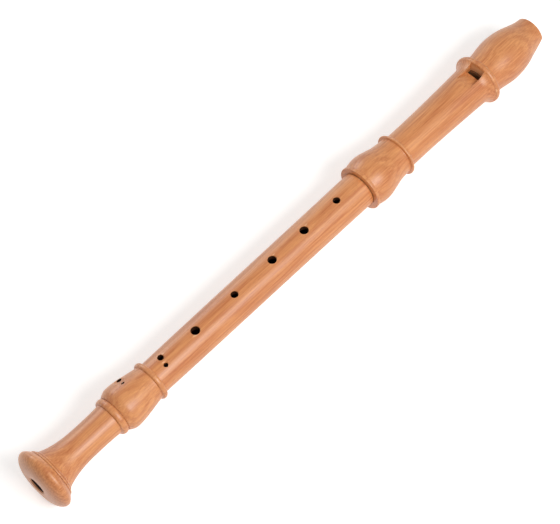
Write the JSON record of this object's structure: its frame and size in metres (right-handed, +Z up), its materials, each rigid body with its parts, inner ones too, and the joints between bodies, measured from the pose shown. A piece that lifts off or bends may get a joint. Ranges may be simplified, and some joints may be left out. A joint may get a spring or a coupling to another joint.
{
  "type": "alto recorder",
  "caption": "Wooden alto recorder in head, middle and foot joints with a windway block, cork-lapped tenons, finger holes above and a thumb hole below.",
  "frame": {"origin": "midway along the instrument, on the surface that its bell rests on", "axes": "+X along the bore from the bell to the beak, +Z up through the finger holes, +Y to the player's right"},
  "size_m": [0.485, 0.045, 0.045],
  "materials": {
    "head_wood": "satin waxed pearwood",
    "block_wood": "bare cedar",
    "middle_wood": "satin waxed pearwood",
    "foot_wood": "satin waxed pearwood",
    "upper_cork": "greased sheet cork",
    "lower_cork": "greased sheet cork"
  },
  "bodies": {
    "middle": {"middle_joint": "middle_wood"},
    "upper_ring": {"upper_tenon_cork": "upper_cork"},
    "head": {"head_joint": "head_wood"},
    "block": {"block": "block_wood"},
    "lower_ring": {"lower_tenon_cork": "lower_cork"},
    "foot": {"foot_joint": "foot_wood"}
  },
  "joints": [
    {"name": "head_turn", "type": "hinge", "parent": "middle", "child": "upper_ring", "pos_m": [0.0593, 0, 0.02241], "axis": [1, 0, 0], "continuous": true},
    {"name": "head_pull", "type": "slide", "parent": "upper_ring", "child": "head", "axis": [1, 0, 0], "range_m": [0, 0.026]},
    {"name": "block_pull", "type": "slide", "parent": "head", "child": "block", "axis": [1, 0, 0], "range_m": [0, 0.062]},
    {"name": "foot_turn", "type": "hinge", "parent": "middle", "child": "lower_ring", "pos_m": [-0.1396, 0, 0.02241], "axis": [1, 0, 0], "continuous": true},
    {"name": "foot_pull", "type": "slide", "parent": "lower_ring", "child": "foot", "axis": [-1, 0, 0], "range_m": [0, 0.016]}
  ]
}
